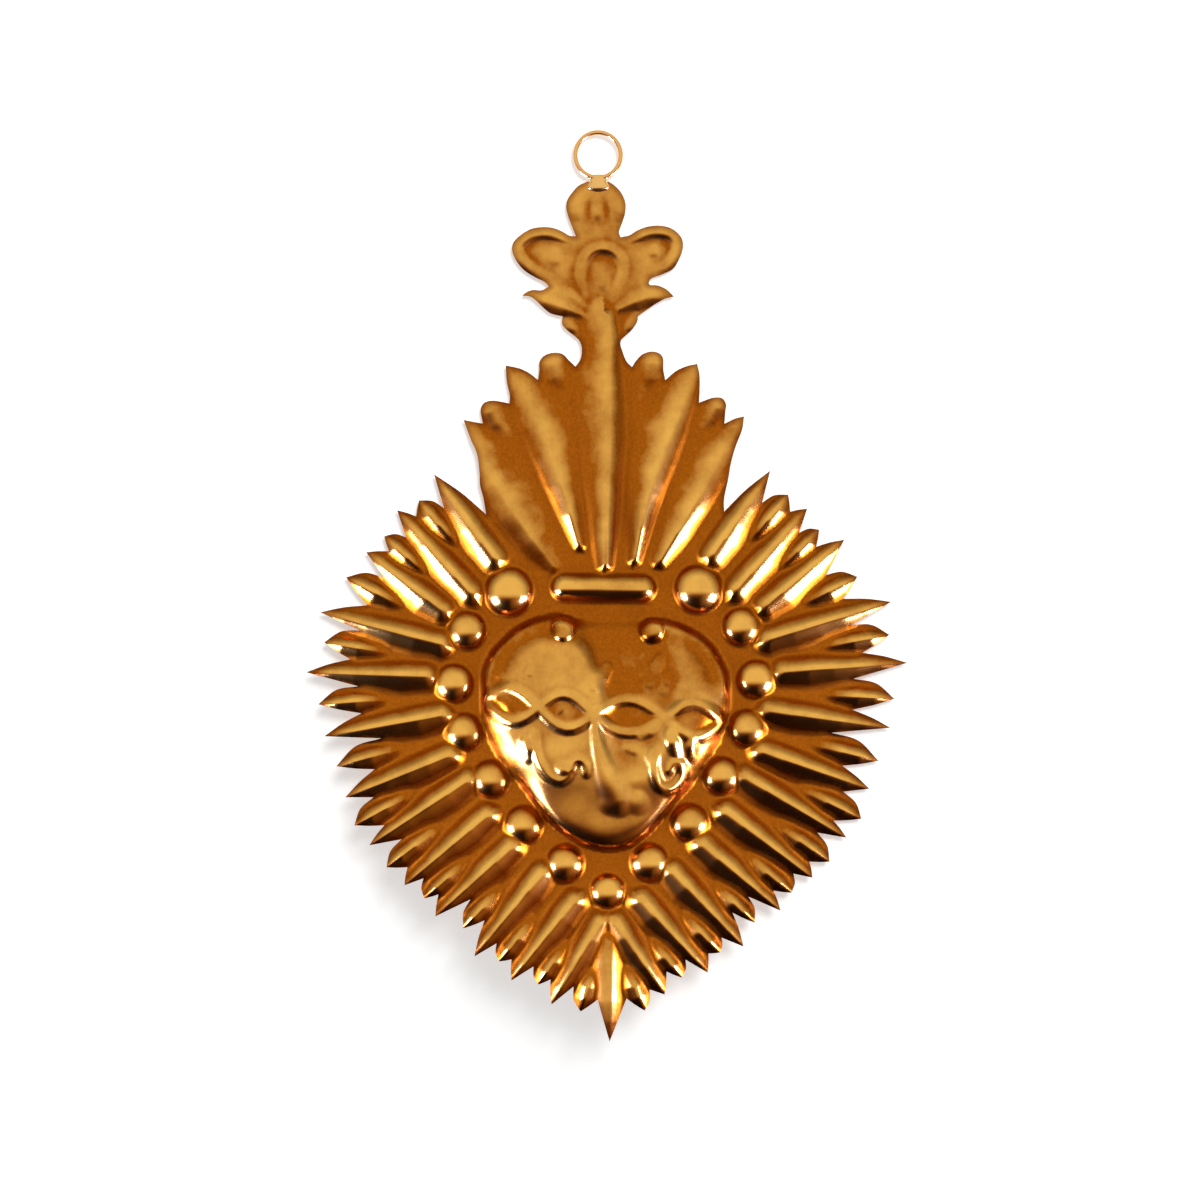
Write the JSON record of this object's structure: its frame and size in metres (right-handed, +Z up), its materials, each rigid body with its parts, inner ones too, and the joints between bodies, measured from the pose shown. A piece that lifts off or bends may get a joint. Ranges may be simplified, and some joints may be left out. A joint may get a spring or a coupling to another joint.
{
  "type": "milagro charm",
  "caption": "Pressed sheet-metal votive charm: a crowned heart in a sunburst of rays with flames and a flower above, hung from a soldered wire ring.",
  "frame": {"origin": "centre of the hanging ring's eye, in the middle of its wire", "axes": "+Z up as it hangs, -Y out of its front, +Y out of its flat back, +X to the viewer's right"},
  "size_m": [0.0872, 0.0054, 0.1322],
  "materials": {
    "pressed_copper": "pressed copper alloy, glossy satin, brown in the hollows and at the tips",
    "ring_wire": "drawn wire, glossy, paler than the sheet",
    "solder": "smooth flowed solder, washed with the colour of the charm"
  },
  "bodies": {
    "root": {"pressed_sheet": "pressed_copper", "hanging_ring": "ring_wire", "solder_joint": "solder"}
  },
  "joints": []
}
